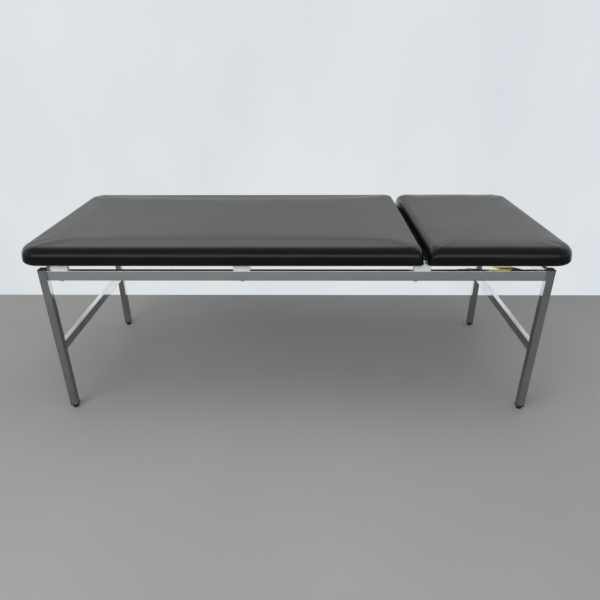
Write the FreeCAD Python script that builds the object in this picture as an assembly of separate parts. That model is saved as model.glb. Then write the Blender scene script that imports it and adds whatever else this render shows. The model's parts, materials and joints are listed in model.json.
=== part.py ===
import FreeCAD, Part
import math
import os

from FreeCAD import Vector

# Massage table: a welded frame of chromed box tube on four plastic feet, with
# a long padded main top and a shorter padded headrest. The headrest turns on a
# continuous hinge between the two boards and is held up by a folding ratchet
# stay on each side. Millimetres, +Z up, origin on the floor under the middle.

# Overall sizes
table_length = 1950.0
table_width = 760.0
head_length = 520.0
end_overhang = 60.0
side_overhang = 20.0
leg_top = 605.0
cushion_thickness = 64.0

# Leg tube, feet and caps
leg_tube = 28.0
leg_corner = 3.0
leg_wall = 1.5
foot_height = 18.0
foot_flange = 4.0
foot_flange_lip = 1.0
foot_top_radius = 13.0
foot_sole_radius = 10.5
foot_edge = 2.0
plug_depth = 22.0
plug_bore = 17.0
plug_floor = 3.0
cap_thickness = 2.5
cap_edge = 1.2

# Rails and stretchers, flush with the inner faces of the legs
rail_height = 38.0
rail_width = 19.0
rail_corner = 2.5
rail_wall = 1.5
rail_drop = 4.0
stretcher_top = 304.0
vent_diameter = 6.0
vent_height = 10.0
vent_offset = -20.0

# Nylon blocks that carry the boards on the side rails
block_length = 60.0
block_height = 26.0
block_edge = 1.5
end_block_inset = 47.0
middle_block_place = -190.0
hinge_block_offset = 6.0
hinge_bolt_offset = 25.0
bolt_diameter = 8.0
bolt_clearance = 0.3
bolt_head_diameter = 14.0
bolt_head_height = 4.5
bolt_head_edge = 2.7
bolt_socket_width = 5.0
bolt_socket_depth = 2.5
tee_flange_diameter = 22.0
tee_flange_thickness = 1.5
tee_barrel_diameter = 11.0
tee_barrel_length = 11.0

# Boards and cushions
board_thickness = 15.0
side_wrap = 18.0
split_wrap = 4.0
cover_flat = 0.4
outer_corner = 72.0
split_corner = 34.0
board_split_corner = 24.0
top_roll = 32.0
split_top_roll = 20.0
side_bottom_roll = 16.0
split_bottom_roll = 3.6
split_gap = 10.0

# The rolls that the facing cushion edges need so that the headrest can rise
main_roll_run = 26.0
head_roll_run = 30.0
split_roll_start = 16.0

# Headrest hinge, in the gap between the boards
hinge_rise = 13.0
hinge_inset = 44.0
knuckle_count = 18
knuckle_gap = 0.4
knuckle_radius = 3.7
leaf_thickness = 1.0
leaf_height = 13.0
hinge_pin_diameter = 3.5
hinge_pin_clearance = 0.06

# Folding stays under the headrest
elbow_inset = 27.0
stay_fall = 24.0
stay_base_run = 160.0
stay_base_drop = 8.0
arm_width = 18.0
arm_thickness = 3.0
arm_gap = 0.5
elbow_radius = 14.0
rivet_diameter = 8.0
rivet_clearance = 0.08
elbow_clearance = 0.3
rivet_head_diameter = 13.0
rivet_head_height = 2.4
base_plate_length = 70.0
base_plate_above = 7.5
base_plate_below = 22.0
bracket_length = 92.0
bracket_flange = 28.0
bracket_belly_run = 45.0
bracket_belly_drop = 9.0
screw_places = (20.0, 72.0)
screw_diameter = 4.5
screw_length = 14.0
screw_head_diameter = 8.4
screw_head_height = 2.0
screw_slot_width = 1.0
screw_slot_depth = 0.8

# Ratchet in the elbow of each stay. Angles are measured at the elbow.
tooth_count = 45
tooth_tip_radius = 12.5
tooth_root_radius = 11.2
tooth_face_share = 0.15
pawl_pivot_reach = 20.0
pawl_pivot_angle = 30.0
pawl_pin_diameter = 4.0
pawl_pin_clearance = 0.1
pawl_pin_head = 7.0
pawl_pin_head_height = 1.2
pawl_eye_radius = 4.5
pawl_lobe_radius = 6.0
pawl_lift = 0.4
pawl_tip_angle = 78.0
pawl_nose_angle = 72.0
pawl_inner_radius = 15.0
pawl_outer_radius = 18.5
pawl_play = 0.2

# Buffers on the end rail
buffer_gap = 0.3
buffer_inset = 102.0
buffer_taper = 3.0

# Heights and places that follow
rail_top = leg_top - rail_drop
rail_bottom = rail_top - rail_height
board_bottom = rail_top + block_height
board_top = board_bottom + board_thickness
cushion_top = board_bottom + cushion_thickness
half_length = table_length / 2
half_width = table_width / 2
frame_x = half_length - end_overhang
frame_y = half_width - side_overhang
inner_x = frame_x - leg_tube
inner_y = frame_y - leg_tube
leg_bore = leg_tube - 2 * leg_wall
leg_middle_x = frame_x - leg_tube / 2
leg_middle_y = frame_y - leg_tube / 2
rail_middle_y = inner_y + rail_width / 2
rail_middle_x = inner_x + rail_width / 2
rail_middle_z = rail_top - rail_height / 2
split_centre = half_length - head_length
main_end = split_centre - split_gap / 2
head_start = split_centre + split_gap / 2
hinge_z = board_bottom + hinge_rise
hinge_length = table_width - 2 * hinge_inset
block_centres = (end_block_inset - inner_x, middle_block_place, split_centre - hinge_block_offset)
bolt_places = (end_block_inset - inner_x, middle_block_place, split_centre - hinge_bolt_offset)

up = Vector(0, 0, 1)
along_x = Vector(1, 0, 0)
along_y = Vector(0, 1, 0)


def save(shape, name):
    """Write one sub-part as its own STEP file."""
    if not shape.isValid():
        raise ValueError(name + " is not a valid shape")
    shape.exportStep("parts/" + name + ".step")
    print(name, len(shape.Solids), round(shape.Volume))


def block(low, high):
    """A box between two corners."""
    size = high - low
    return Part.makeBox(size.x, size.y, size.z, low)


def rod(diameter, length, start, direction):
    return Part.makeCylinder(diameter / 2, length, start, direction)


def rounded_outline(low_x, low_y, high_x, high_y, left_radius, right_radius, height):
    """A rectangle at one height whose left and right corners have their own radii."""
    slant = 1 - math.sqrt(0.5)
    left = left_radius
    right = right_radius

    def point(x, y):
        return Vector(x, y, height)

    edges = [
        Part.LineSegment(point(low_x + left, low_y), point(high_x - right, low_y)),
        Part.Arc(point(high_x - right, low_y),
                 point(high_x - right * slant, low_y + right * slant),
                 point(high_x, low_y + right)),
        Part.LineSegment(point(high_x, low_y + right), point(high_x, high_y - right)),
        Part.Arc(point(high_x, high_y - right),
                 point(high_x - right * slant, high_y - right * slant),
                 point(high_x - right, high_y)),
        Part.LineSegment(point(high_x - right, high_y), point(low_x + left, high_y)),
        Part.Arc(point(low_x + left, high_y),
                 point(low_x + left * slant, high_y - left * slant),
                 point(low_x, high_y - left)),
        Part.LineSegment(point(low_x, high_y - left), point(low_x, low_y + left)),
        Part.Arc(point(low_x, low_y + left),
                 point(low_x + left * slant, low_y + left * slant),
                 point(low_x + left, low_y)),
    ]
    return Part.Wire([edge.toShape() for edge in edges])


def prism(low_x, low_y, high_x, high_y, radius, low_z, high_z):
    """An upright bar with rounded corners."""
    outline = rounded_outline(low_x, low_y, high_x, high_y, radius, radius, low_z)
    return Part.Face(outline).extrude(up * (high_z - low_z))


def square_prism(width, radius, low_z, high_z):
    half = width / 2
    return prism(-half, -half, half, half, radius, low_z, high_z)


def box_tube(width, height, corner, wall, length):
    """A box section along +Z from the origin, its width along X and its height along Y."""
    outer = prism(-width / 2, -height / 2, width / 2, height / 2, corner, 0, length)
    inner_corner = max(corner - wall, wall / 2)
    inner = prism(-width / 2 + wall, -height / 2 + wall, width / 2 - wall,
                  height / 2 - wall, inner_corner, 0, length)
    return outer.cut(inner)


def edges_at(shape, height):
    """The edges that lie level at one height."""
    found = []
    for edge in shape.Edges:
        low = edge.BoundBox.ZMin
        high = edge.BoundBox.ZMax
        if abs(low - height) < 0.001 and abs(high - height) < 0.001:
            found.append(edge)
    return found


# Legs, caps and feet
def make_leg():
    leg = box_tube(leg_tube, leg_tube, leg_corner, leg_wall, leg_top - foot_height)
    leg.translate(up * foot_height)
    return leg


def make_foot():
    """A moulded glide: a hollow plug in the tube, a square flange and a tapered sole."""
    flange_low = foot_height - foot_flange
    flange_width = leg_tube + 2 * foot_flange_lip
    flange = square_prism(flange_width, leg_corner + foot_flange_lip, flange_low, foot_height)
    plug_corner = max(leg_corner - leg_wall, leg_wall / 2)
    plug = square_prism(leg_bore, plug_corner, foot_height, foot_height + plug_depth)
    sole = Part.makeCone(foot_sole_radius, foot_top_radius, flange_low)
    sole = sole.makeFillet(foot_edge, edges_at(sole, 0.0))
    hollow = rod(plug_bore, plug_depth, up * (foot_height + plug_floor), up)
    return sole.fuse(flange).fuse(plug).cut(hollow).removeSplitter()


def make_cap():
    """A push-in cap: a thin square head with a softened edge over a hollow plug."""
    head = square_prism(leg_tube, leg_corner, leg_top, leg_top + cap_thickness)
    head = head.makeFillet(cap_edge, edges_at(head, leg_top + cap_thickness))
    plug_corner = max(leg_corner - leg_wall, leg_wall / 2)
    plug = square_prism(leg_bore, plug_corner, leg_top - plug_depth, leg_top)
    hollow = rod(plug_bore, plug_depth - plug_floor, up * (leg_top - plug_depth), up)
    return head.fuse(plug).cut(hollow).removeSplitter()


def build_legs():
    for end, side_x in (("left", -1), ("right", 1)):
        for face, side_y in (("front", -1), ("back", 1)):
            place = Vector(side_x * leg_middle_x, side_y * leg_middle_y, 0)
            for label, make in (("leg", make_leg), ("foot", make_foot), ("leg_cap", make_cap)):
                piece = make()
                piece.translate(place)
                save(piece, face + "_" + end + "_" + label)


# Side rails, end rails and stretchers
def bolt_holes(side_y, low_z, high_z, diameter):
    holes = []
    for x in bolt_places:
        start = Vector(x, side_y * rail_middle_y, low_z)
        holes.append(rod(diameter, high_z - low_z, start, up))
    return Part.makeCompound(holes)


def build_side_rails():
    for face, side_y in (("front", -1), ("back", 1)):
        rail = box_tube(rail_height, rail_width, rail_corner, rail_wall, 2 * inner_x)
        rail.rotate(Vector(0, 0, 0), along_y, 90)
        rail.translate(Vector(-inner_x, side_y * rail_middle_y, rail_middle_z))
        hole = bolt_diameter + 2 * bolt_clearance
        rail = rail.cut(bolt_holes(side_y, rail_bottom - 1, rail_top + 1, hole))
        save(rail, face + "_rail")


def cross_bar(side_x, top):
    """A box section from the front legs to the back legs."""
    bar = box_tube(rail_width, rail_height, rail_corner, rail_wall, 2 * inner_y)
    bar.rotate(Vector(0, 0, 0), along_x, -90)
    bar.translate(Vector(side_x * rail_middle_x, -inner_y, top - rail_height / 2))
    return bar


def build_cross_bars():
    for end, side_x in (("left", -1), ("right", 1)):
        save(cross_bar(side_x, rail_top), end + "_end_rail")
        stretcher = cross_bar(side_x, stretcher_top)
        vent_z = stretcher_top - rail_height + vent_height
        vent_start = Vector(side_x * (inner_x + rail_wall * 2), vent_offset, vent_z)
        vent = rod(vent_diameter, rail_wall * 3, vent_start, along_x * -side_x)
        save(stretcher.cut(vent), end + "_stretcher")


# Nylon blocks and their bolts
def build_blocks():
    for face, side_y in (("front", -1), ("back", 1)):
        for label, x in zip(("foot_end", "middle", "hinge_end"), block_centres):
            corner = Vector(block_length / 2, rail_width / 2, 0)
            middle = Vector(x, side_y * rail_middle_y, rail_top)
            piece = block(middle - corner, middle + corner + up * block_height)
            uprights = [edge for edge in piece.Edges if abs(edge.tangentAt(0).z) > 0.5]
            piece = piece.makeFillet(block_edge, uprights)
            hole = bolt_diameter + 2 * bolt_clearance
            piece = piece.cut(bolt_holes(side_y, rail_top, board_bottom, hole))
            save(piece, face + "_" + label + "_block")


def make_bolt(x, y):
    """A button-head bolt, up through the rail and the block into its tee nut."""
    head_low = rail_bottom - bolt_head_height
    head = rod(bolt_head_diameter, bolt_head_height, Vector(x, y, head_low), up)
    head = head.makeFillet(bolt_head_edge, edges_at(head, head_low))
    socket_outline = Part.makePolygon([
        Vector(x + bolt_socket_width / 2 * math.cos(math.radians(60 * turn)),
               y + bolt_socket_width / 2 * math.sin(math.radians(60 * turn)), head_low)
        for turn in range(7)])
    socket = Part.Face(socket_outline).extrude(up * bolt_socket_depth)
    shank = rod(bolt_diameter, board_top - rail_bottom - tee_flange_thickness,
                Vector(x, y, rail_bottom), up)
    return head.cut(socket).fuse(shank).removeSplitter()


def make_tee_nut(x, y):
    flange = rod(tee_flange_diameter, tee_flange_thickness, Vector(x, y, board_top), up)
    barrel = rod(tee_barrel_diameter, tee_barrel_length,
                 Vector(x, y, board_top - tee_barrel_length), up)
    bore = rod(bolt_diameter, tee_barrel_length + tee_flange_thickness,
               Vector(x, y, board_top - tee_barrel_length), up)
    return flange.fuse(barrel).cut(bore).removeSplitter()


def build_bolts():
    bolts = []
    nuts = []
    for side_y in (-1, 1):
        for x in bolt_places:
            bolts.append(make_bolt(x, side_y * rail_middle_y))
            nuts.append(make_tee_nut(x, side_y * rail_middle_y))
    save(Part.makeCompound(bolts), "block_bolts")
    save(Part.makeCompound(nuts), "tee_nuts")


# Boards and cushions
def top_outline(outer_x, split_x, half_y, outer_radius, split_radius):
    """The plan of one top, whichever end its outer end is on."""
    if outer_x < split_x:
        return rounded_outline(outer_x, -half_y, split_x, half_y,
                               outer_radius, split_radius, board_bottom)
    return rounded_outline(split_x, -half_y, outer_x, half_y,
                           split_radius, outer_radius, board_bottom)


def board_solid(outer_x, split_x, way_out):
    """The plywood; way_out is the direction from the board to the split."""
    outline = top_outline(outer_x + way_out * side_wrap, split_x - way_out * split_wrap,
                          half_width - side_wrap, outer_corner - side_wrap, board_split_corner)
    return Part.Face(outline).extrude(up * board_thickness)


def cushion_solid(outer_x, split_x, way_out):
    """A padded slab with rolled edges, wrapped down round its board."""
    plan = top_outline(outer_x, split_x, half_width, outer_corner, split_corner)
    slab = Part.Face(plan).extrude(up * cushion_thickness)
    slab = slab.makeFillet(split_top_roll, edges_at(slab, cushion_top))
    low_roll = min(split_bottom_roll, split_wrap - cover_flat)
    slab = slab.makeFillet(low_roll, edges_at(slab, board_bottom))
    long_plan = top_outline(outer_x, split_x + way_out * table_width, half_width,
                            outer_corner, outer_corner)
    hull = Part.Face(long_plan).extrude(up * cushion_thickness)
    hull = hull.makeFillet(top_roll, edges_at(hull, cushion_top))
    wide_roll = min(side_bottom_roll, side_wrap - cover_flat)
    hull = hull.makeFillet(wide_roll, edges_at(hull, board_bottom))
    slab = slab.common(hull)
    return slab.cut(board_solid(outer_x, split_x, way_out))


def split_relief(edge_x, side, run):
    """What lies outside a quarter ellipse at the split edge; side is the way out of the cushion."""
    low_z = board_bottom + split_roll_start
    rise = cushion_top - low_z
    centre = Vector(edge_x - side * run, -table_width, low_z)
    crest = centre + up * rise
    foot = Vector(edge_x, -table_width, low_z)
    if rise > run:
        oval = Part.Ellipse(crest, foot, centre)
    else:
        oval = Part.Ellipse(foot, crest, centre)
    middle = centre + (crest - centre + foot - centre) * math.sqrt(0.5)
    first = oval.parameter(crest)
    last = oval.parameter(foot)
    arc = Part.ArcOfEllipse(oval, first, last)
    if arc.value((arc.FirstParameter + arc.LastParameter) / 2).distanceToPoint(middle) > 1:
        arc = Part.ArcOfEllipse(oval, last, first)
    above = up * split_gap
    outside = along_x * (side * split_gap)
    edges = [
        arc.toShape(),
        Part.LineSegment(foot, foot + outside).toShape(),
        Part.LineSegment(foot + outside, foot + outside + up * rise + above).toShape(),
        Part.LineSegment(foot + outside + up * rise + above, crest + above).toShape(),
        Part.LineSegment(crest + above, crest).toShape(),
    ]
    outline = Part.Wire(Part.__sortEdges__(edges))
    return Part.Face(outline).extrude(along_y * 2 * table_width)


def build_tops():
    tops = (("main", -half_length, main_end, 1, main_roll_run),
            ("head", half_length, head_start, -1, head_roll_run))
    nut_holes = []
    flange_rooms = []
    for side_y in (-1, 1):
        for x in bolt_places:
            place = Vector(x, side_y * rail_middle_y, board_bottom)
            nut_holes.append(rod(tee_barrel_diameter, board_thickness, place, up))
            flange_rooms.append(rod(tee_flange_diameter, tee_flange_thickness,
                                    place + up * board_thickness, up))
    for label, outer_x, split_x, way_out, run in tops:
        board = board_solid(outer_x, split_x, way_out)
        cushion = cushion_solid(outer_x, split_x, way_out)
        cushion = cushion.cut(split_relief(split_x, way_out, run))
        if label == "main":
            board = board.cut(Part.makeCompound(nut_holes))
            cushion = cushion.cut(Part.makeCompound(flange_rooms))
        else:
            board = board.cut(Part.makeCompound(bracket_screws(screw_diameter)))
        save(board, label + "_board")
        save(cushion, label + "_cushion")


# Continuous hinge between the boards
def make_leaf(side):
    """One leaf with every second knuckle; side is -1 on the main top, 1 on the headrest."""
    face = split_centre + side * split_gap / 2
    inner = face - side * leaf_thickness
    leaf_low = hinge_z - leaf_height + leaf_thickness
    leaf = block(Vector(min(face, inner), -hinge_length / 2, leaf_low),
                 Vector(max(face, inner), hinge_length / 2, hinge_z + leaf_thickness))
    pitch = hinge_length / knuckle_count
    first = 0 if side < 0 else 1
    bore = hinge_pin_diameter + 2 * hinge_pin_clearance
    for number in range(first, knuckle_count, 2):
        start_y = -hinge_length / 2 + number * pitch + knuckle_gap / 2
        length = pitch - knuckle_gap
        start = Vector(split_centre, start_y, hinge_z)
        knuckle = rod(2 * knuckle_radius, length, start, along_y)
        web = block(Vector(min(face, split_centre), start_y, hinge_z - knuckle_radius),
                    Vector(max(face, split_centre), start_y + length,
                           hinge_z - knuckle_radius + leaf_thickness))
        leaf = leaf.fuse(knuckle.fuse(web).cut(rod(bore, length, start, along_y)))
    return leaf.removeSplitter()


def build_hinge():
    save(make_leaf(-1), "main_hinge_leaf")
    save(make_leaf(1), "head_hinge_leaf")
    pin = rod(hinge_pin_diameter, hinge_length,
              Vector(split_centre, -hinge_length / 2, hinge_z), along_y)
    save(pin, "hinge_pin")


# Folding stays. The four pivots make a parallelogram with the hinge, so the
# lower arm turns with the headrest and the upper arm keeps its direction.
stay_reach = inner_x - elbow_inset - split_centre - stay_base_run
base_pivot = Vector(split_centre + stay_base_run, 0, rail_top - stay_base_drop)
board_pivot = Vector(split_centre + stay_reach, 0, hinge_z - stay_fall)
elbow = base_pivot + board_pivot - Vector(split_centre, 0, hinge_z)

# The planes that the front stay lies in, from the rail inwards
lower_y = -inner_y + arm_thickness + arm_gap
upper_y = lower_y + arm_thickness + arm_gap
ratchet_y = upper_y + arm_thickness
bracket_y = upper_y + arm_thickness + arm_gap


def arm_plate(start, end, start_radius, end_radius, low_y):
    """A flat bar with round ends of their own radii, in a plane across Y."""
    run = end - start
    length = run.Length
    direction = run / length
    across = Vector(-direction.z, 0, direction.x)
    lean = (start_radius - end_radius) / length
    side = math.sqrt(1 - lean * lean)
    corners = []
    for centre, radius, sign in ((start, start_radius, 1), (end, end_radius, 1),
                                 (end, end_radius, -1), (start, start_radius, -1)):
        corners.append(centre + direction * (radius * lean) + across * (sign * radius * side))
    corners.append(corners[0])
    plate = Part.Face(Part.makePolygon(corners)).extrude(along_y * arm_thickness)
    for centre, radius in ((start, start_radius), (end, end_radius)):
        plate = plate.fuse(rod(2 * radius, arm_thickness, centre, along_y))
    plate = plate.removeSplitter()
    plate.translate(along_y * low_y)
    return plate


def y_rod(diameter, centre, low_y, high_y):
    start = Vector(centre.x, low_y, centre.z)
    return rod(diameter, high_y - low_y, start, along_y)


def rivet(centre, low_y, high_y):
    """A pin between two round heads that stand outside the plates."""
    shank = y_rod(rivet_diameter, centre, low_y, high_y)
    pieces = shank
    for head_low in (low_y - rivet_head_height, high_y):
        head = y_rod(rivet_head_diameter, centre, head_low, head_low + rivet_head_height)
        pieces = pieces.fuse(head)
    return pieces.removeSplitter()


def base_bracket():
    """The plate that is welded to the inner face of the rail, with a hole for the lower pivot."""
    return block(Vector(base_pivot.x - base_plate_length / 2, -inner_y,
                        base_pivot.z - base_plate_below),
                 Vector(base_pivot.x + base_plate_length / 2, -inner_y + arm_thickness,
                        base_pivot.z + base_plate_above))


def screw_points(face_z):
    """Where the wood screws of both brackets cross one height."""
    points = []
    for side_y in (-1, 1):
        for run in screw_places:
            points.append(Vector(board_pivot.x - arm_width / 2 + run,
                                 -side_y * (bracket_y + bracket_flange / 2), face_z))
    return points


def bracket_screws(diameter):
    """Plain shanks from the bracket's underside up into the head board."""
    return [rod(diameter, screw_length, point, up) for point in screw_points(board_bottom - arm_thickness)]


def build_screws():
    """Slotted pan-head wood screws."""
    screws = bracket_screws(screw_diameter)
    pieces = []
    for shank, point in zip(screws, screw_points(board_bottom - arm_thickness)):
        head = rod(screw_head_diameter, screw_head_height, point - up * screw_head_height, up)
        half_slot = Vector(screw_head_diameter, screw_slot_width / 2, 0)
        slot_low = point - up * screw_head_height
        slot = block(slot_low - half_slot, slot_low + half_slot + up * screw_slot_depth)
        pieces.append(shank.fuse(head).cut(slot).removeSplitter())
    save(Part.makeCompound(pieces), "bracket_screws")


def board_bracket(plane_y):
    """An angle under the head board whose cheek narrows in a curve to the upper pivot."""
    left = board_pivot.x - arm_width / 2
    right = left + bracket_length
    bottom = board_pivot.z
    middle = Vector(board_pivot.x + bracket_belly_run, plane_y,
                    board_pivot.z - bracket_belly_drop)
    cheek_edges = [
        Part.LineSegment(Vector(left, plane_y, board_bottom), Vector(right, plane_y, board_bottom)),
        Part.LineSegment(Vector(right, plane_y, board_bottom),
                         Vector(right, plane_y, board_bottom - arm_thickness)),
        Part.Arc(Vector(right, plane_y, board_bottom - arm_thickness), middle,
                 Vector(board_pivot.x, plane_y, bottom - arm_width / 2)),
        Part.LineSegment(Vector(board_pivot.x, plane_y, bottom - arm_width / 2),
                         Vector(left, plane_y, bottom)),
        Part.LineSegment(Vector(left, plane_y, bottom), Vector(left, plane_y, board_bottom)),
    ]
    cheek = Part.Face(Part.Wire([edge.toShape() for edge in cheek_edges]))
    cheek = cheek.extrude(along_y * arm_thickness)
    flange = block(Vector(left, plane_y + arm_thickness, board_bottom - arm_thickness),
                   Vector(right, plane_y + bracket_flange, board_bottom))
    angle = cheek.fuse(flange).removeSplitter()
    return angle.cut(Part.makeCompound(bracket_screws(screw_diameter)))


def elbow_point(radius, angle, plane_y):
    """A point at a radius and an angle round the elbow, in one of the stay's planes."""
    turn = math.radians(angle)
    return Vector(elbow.x + radius * math.cos(turn), plane_y, elbow.z + radius * math.sin(turn))


def make_ratchet():
    """A saw-toothed wheel fastened to the upper arm, round the elbow rivet."""
    pitch = 360.0 / tooth_count
    points = []
    for number in range(tooth_count):
        start = number * pitch
        points.append(elbow_point(tooth_root_radius, start, ratchet_y))
        points.append(elbow_point(tooth_tip_radius, start + pitch * tooth_face_share, ratchet_y))
    points.append(points[0])
    wheel = Part.Face(Part.makePolygon(points)).extrude(along_y * arm_thickness)
    bore = y_rod(rivet_diameter + 2 * elbow_clearance, elbow, ratchet_y, ratchet_y + arm_thickness)
    return wheel.cut(bore)


def make_pawl():
    """The catch, drawn as it stands while it is lifted clear of the teeth."""
    plane_y = ratchet_y + pawl_play
    thickness = arm_thickness - 2 * pawl_play
    pivot = elbow_point(pawl_pivot_reach, pawl_pivot_angle, plane_y)
    tip_radius = tooth_tip_radius + pawl_lift
    spread = pawl_tip_angle - pawl_pivot_angle
    outer = [elbow_point(pawl_outer_radius, pawl_pivot_angle + spread * step / 4, plane_y)
             for step in range(5)]
    inner_spread = pawl_nose_angle - pawl_pivot_angle
    inner = [elbow_point(pawl_inner_radius, pawl_pivot_angle + inner_spread * step / 4, plane_y)
             for step in range(4, -1, -1)]
    points = outer + [elbow_point(tip_radius, pawl_tip_angle, plane_y)] + inner
    points.append(points[0])
    finger = Part.Face(Part.makePolygon(points)).extrude(along_y * thickness)
    eye = y_rod(2 * pawl_eye_radius, pivot, plane_y, plane_y + thickness)
    bore = y_rod(pawl_pin_diameter + 2 * pawl_pin_clearance, pivot, plane_y, plane_y + thickness)
    return finger.fuse(eye).cut(bore).removeSplitter()


def build_stays():
    running = rivet_diameter + 2 * rivet_clearance
    loose = rivet_diameter + 2 * elbow_clearance
    wide = table_width / 2
    pack_end = ratchet_y + arm_thickness + arm_gap

    plate = base_bracket()
    plate_rivet = rivet(base_pivot, -inner_y, lower_y + arm_thickness)
    rail_side = block(Vector(0, -table_width, 0), Vector(table_length, -inner_y, cushion_top))
    plate_rivet = plate_rivet.cut(rail_side)
    plate = plate.fuse(plate_rivet).removeSplitter()

    pawl_pivot = elbow_point(pawl_pivot_reach, pawl_pivot_angle, lower_y)
    lower = arm_plate(base_pivot, elbow, arm_width / 2, elbow_radius, lower_y)
    lobe = arm_plate(Vector(elbow.x, 0, elbow.z), Vector(pawl_pivot.x, 0, pawl_pivot.z),
                     elbow_radius, pawl_lobe_radius, lower_y)
    lower = lower.fuse(lobe)
    lower = lower.cut(y_rod(running, base_pivot, -wide, wide))
    lower = lower.fuse(rivet(elbow, lower_y, pack_end))
    lower = lower.fuse(y_rod(pawl_pin_diameter, pawl_pivot, lower_y, pack_end))
    lower = lower.fuse(y_rod(pawl_pin_head, pawl_pivot, pack_end, pack_end + pawl_pin_head_height))
    lower = lower.removeSplitter()

    upper = arm_plate(board_pivot, elbow, arm_width / 2, elbow_radius, upper_y)
    upper = upper.cut(y_rod(loose, elbow, -wide, wide))
    upper = upper.cut(y_rod(running, board_pivot, -wide, wide)).removeSplitter()

    bracket = board_bracket(bracket_y)
    bracket_rivet = rivet(board_pivot, upper_y, bracket_y + arm_thickness)
    bracket = bracket.fuse(bracket_rivet).removeSplitter()

    pieces = (("stay_base", plate), ("stay_lower_arm", lower), ("stay_upper_arm", upper),
              ("stay_ratchet", make_ratchet()), ("stay_pawl", make_pawl()), ("stay_bracket", bracket))
    for label, piece in pieces:
        save(piece, "front_" + label)
        mirrored = piece.mirror(Vector(0, 0, 0), along_y)
        save(mirrored, "back_" + label)


def build_buffers():
    """Two nylon buffers on the end rail, which the head board lies on when it is flat."""
    buffers = []
    for side_y in (-1, 1):
        base = Vector(rail_middle_x, side_y * (inner_y - buffer_inset), rail_top)
        height = block_height - buffer_gap
        buffers.append(Part.makeCone(rail_width / 2, rail_width / 2 - buffer_taper, height, base, up))
    save(Part.makeCompound(buffers), "rest_buffers")


os.makedirs("parts", exist_ok=True)
build_legs()
build_side_rails()
build_cross_bars()
build_blocks()
build_bolts()
build_tops()
build_hinge()
build_stays()
build_screws()
build_buffers()
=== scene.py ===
import json
import math
import random

import bpy
import numpy as np
from mathutils import Matrix, Vector, noise


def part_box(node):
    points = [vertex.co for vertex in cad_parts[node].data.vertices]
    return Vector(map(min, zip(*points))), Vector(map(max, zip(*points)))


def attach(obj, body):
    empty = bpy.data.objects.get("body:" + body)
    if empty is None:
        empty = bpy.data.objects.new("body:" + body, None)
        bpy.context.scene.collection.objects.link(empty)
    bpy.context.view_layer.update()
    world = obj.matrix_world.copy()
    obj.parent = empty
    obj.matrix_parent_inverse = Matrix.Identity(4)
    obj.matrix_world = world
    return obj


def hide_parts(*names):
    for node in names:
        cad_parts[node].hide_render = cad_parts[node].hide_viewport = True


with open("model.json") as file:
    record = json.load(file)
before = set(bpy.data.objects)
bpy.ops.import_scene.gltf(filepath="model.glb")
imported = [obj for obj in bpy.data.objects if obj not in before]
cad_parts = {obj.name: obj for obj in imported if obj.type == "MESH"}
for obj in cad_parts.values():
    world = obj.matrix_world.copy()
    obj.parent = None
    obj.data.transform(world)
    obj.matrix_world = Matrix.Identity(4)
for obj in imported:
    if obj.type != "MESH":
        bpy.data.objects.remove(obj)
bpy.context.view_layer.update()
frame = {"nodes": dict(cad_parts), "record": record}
nodes = frame["nodes"]

# Camera, as a real camera stood in front of the table. Lengths in metres, angles in radians.
picture_width = 600.0
focal_pixels = 506.9
sensor_width = 36.0
camera_place = Vector((0.0349, -2.0037, 1.3057))
camera_yaw = 0.0113
camera_pitch = 0.4599
camera_roll = -0.0038


def link(obj):
    """Puts a new object into the scene."""
    bpy.context.scene.collection.objects.link(obj)
    return obj


def make_camera():
    forward = Vector((-math.sin(camera_yaw) * math.cos(camera_pitch),
                      math.cos(camera_yaw) * math.cos(camera_pitch),
                      -math.sin(camera_pitch)))
    level = Vector((math.cos(camera_yaw), math.sin(camera_yaw), 0.0))
    upward = level.cross(forward)
    right = level * math.cos(camera_roll) + upward * math.sin(camera_roll)
    above = upward * math.cos(camera_roll) - level * math.sin(camera_roll)
    data = bpy.data.cameras.new("camera")
    data.sensor_fit = "HORIZONTAL"
    data.sensor_width = sensor_width
    data.lens = sensor_width * focal_pixels / picture_width
    camera = link(bpy.data.objects.new("camera", data))
    turn = Matrix((right, above, -forward)).transposed().to_4x4()
    camera.matrix_world = Matrix.Translation(camera_place) @ turn
    bpy.context.scene.camera = camera


# Material helpers. Texture scales count the waves in a metre.
def new_material(name):
    material = bpy.data.materials.new(name)
    material.use_nodes = True
    tree = material.node_tree
    shader = tree.nodes["Principled BSDF"]
    return material, tree, shader


def place_vector(tree, scale=(1, 1, 1)):
    """Object coordinates stretched by their own factor along each axis."""
    coordinates = tree.nodes.new("ShaderNodeTexCoord")
    mapping = tree.nodes.new("ShaderNodeMapping")
    mapping.inputs["Scale"].default_value = scale
    tree.links.new(coordinates.outputs["Object"], mapping.inputs["Vector"])
    return mapping.outputs["Vector"]


def noise_value(tree, scale, stretch=(1, 1, 1), detail=3.0, rough=0.5):
    texture = tree.nodes.new("ShaderNodeTexNoise")
    texture.inputs["Scale"].default_value = scale
    texture.inputs["Detail"].default_value = detail
    texture.inputs["Roughness"].default_value = rough
    tree.links.new(place_vector(tree, stretch), texture.inputs["Vector"])
    return texture.outputs["Fac"]


def remap(tree, value, low, high, from_low=0.3, from_high=0.7):
    """Spreads a value over the range from low to high; the default suits a noise texture."""
    node = tree.nodes.new("ShaderNodeMapRange")
    node.inputs["From Min"].default_value = from_low
    node.inputs["From Max"].default_value = from_high
    node.inputs["To Min"].default_value = low
    node.inputs["To Max"].default_value = high
    tree.links.new(value, node.inputs["Value"])
    return node.outputs["Result"]


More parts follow.
